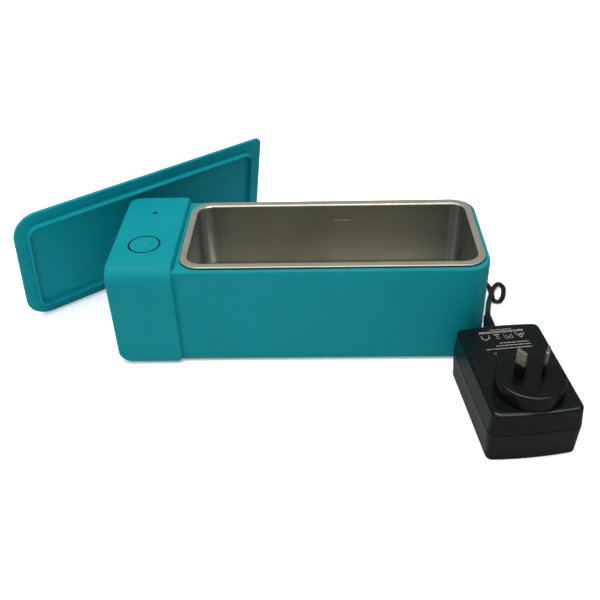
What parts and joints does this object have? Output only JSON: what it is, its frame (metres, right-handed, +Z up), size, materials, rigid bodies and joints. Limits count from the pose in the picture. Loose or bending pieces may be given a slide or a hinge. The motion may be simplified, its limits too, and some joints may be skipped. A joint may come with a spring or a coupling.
{
  "type": "ultrasonic cleaner",
  "caption": "Bench-top ultrasonic cleaner: teal case, long steel tank, button pod at the left, lift-off lid leaning on the pod, and a plug-in mains adapter on its cord.",
  "frame": {"origin": "on the table plane, under the middle of the bounding box of the whole set (cleaner, leaning lid and adapter)", "axes": "+X runs along the cleaner from the control pod to the far end of the tank; +Y points to the back, where the power socket is; +Z is up. Rest pose: lid off and leaning on the pod, plug in its socket"},
  "size_m": [0.3402, 0.253, 0.0849],
  "materials": {
    "teal_plastic": "fine matt moulded plastic",
    "teal_base": "matt moulded plastic",
    "tank_steel": "drawn and satin-brushed stainless steel",
    "black_rubber": "matt soft black",
    "black_plastic": "semi-gloss moulded black",
    "component_black": "moulded component body",
    "capacitor_sleeve": "shrink sleeve",
    "circuit_board": "green solder mask",
    "ferrite": "sintered ferrite and tape",
    "copper_winding": "enamelled copper wire",
    "heatsink_aluminium": "extruded",
    "screw_steel": "zinc plated",
    "plated_contact": "nickel plated brass",
    "piezo_ceramic": "silvered ceramic",
    "connector_nylon": "natural nylon",
    "clear_plastic": "clear moulded",
    "red_wire": "insulated wire",
    "black_wire": "insulated wire",
    "grey_ribbon": "flat ribbon cable"
  },
  "bodies": {
    "cleaner": {"tank_housing": "teal_plastic", "control_pod_cover": "teal_plastic", "bottom_cover": "teal_base", "tank_basin": "tank_steel", "tank_gasket": "black_rubber", "foot_front_left": "black_rubber", "foot_back_left": "black_rubber", "foot_front_right": "black_rubber", "foot_back_right": "black_rubber", "dc_cable": "black_rubber", "dc_jack": "black_plastic", "tact_switch": "component_black", "power_transistor": "component_black", "driver_capacitor": "capacitor_sleeve", "driver_board": "circuit_board", "button_board": "circuit_board", "driver_transformer": "ferrite", "driver_choke": "copper_winding", "transistor_heatsink": "heatsink_aluminium", "bottom_screw_1": "screw_steel", "bottom_screw_2": "screw_steel", "bottom_screw_3": "screw_steel", "bottom_screw_4": "screw_steel", "driver_board_screw_1": "screw_steel", "driver_board_screw_2": "screw_steel", "button_board_screw_1": "screw_steel", "button_board_screw_2": "screw_steel", "jack_center_pin": "plated_contact", "transducer_disc": "piezo_ceramic", "driver_connector": "connector_nylon", "status_led": "clear_plastic", "light_pipe": "clear_plastic", "transducer_wire_live": "red_wire", "jack_wire_positive": "red_wire", "transducer_wire_return": "black_wire", "jack_wire_negative": "black_wire", "button_ribbon": "grey_ribbon"},
    "power_button": {"power_button": "teal_plastic", "switch_plunger": "component_black"},
    "lid": {"lid": "teal_plastic"},
    "dc_plug": {"dc_plug_grip": "black_rubber", "dc_plug_barrel": "plated_contact"},
    "adapter": {"adapter_lower_case": "black_plastic", "adapter_upper_case": "black_plastic", "adapter_board": "circuit_board", "adapter_transformer": "ferrite", "adapter_input_capacitor": "capacitor_sleeve", "adapter_output_capacitor": "capacitor_sleeve", "adapter_strain_relief": "black_rubber"},
    "plug_head": {"plug_head_disc": "black_plastic", "active_pin": "plated_contact", "neutral_pin": "plated_contact", "active_pin_sleeve": "black_plastic", "neutral_pin_sleeve": "black_plastic"}
  },
  "joints": [
    {"name": "power_button_press", "type": "slide", "parent": "cleaner", "child": "power_button", "axis": [0, 0, -1], "range_m": [0, 0.0006]},
    {"name": "lid_lift", "type": "slide", "parent": "cleaner", "child": "lid", "axis": [0, 0, 1], "range_m": [0, 0.12]},
    {"name": "dc_plug_pull", "type": "slide", "parent": "cleaner", "child": "dc_plug", "axis": [0, 1, 0], "range_m": [0, 0.011]},
    {"name": "adapter_slide", "type": "slide", "parent": "cleaner", "child": "adapter", "axis": [1, 0, 0], "range_m": [0, 0.03]},
    {"name": "plug_head_twist", "type": "hinge", "parent": "adapter", "child": "plug_head", "pos_m": [0.14247, -0.10448, 0.043], "axis": [0, 0, 1], "range_deg": [0, 20]}
  ]
}
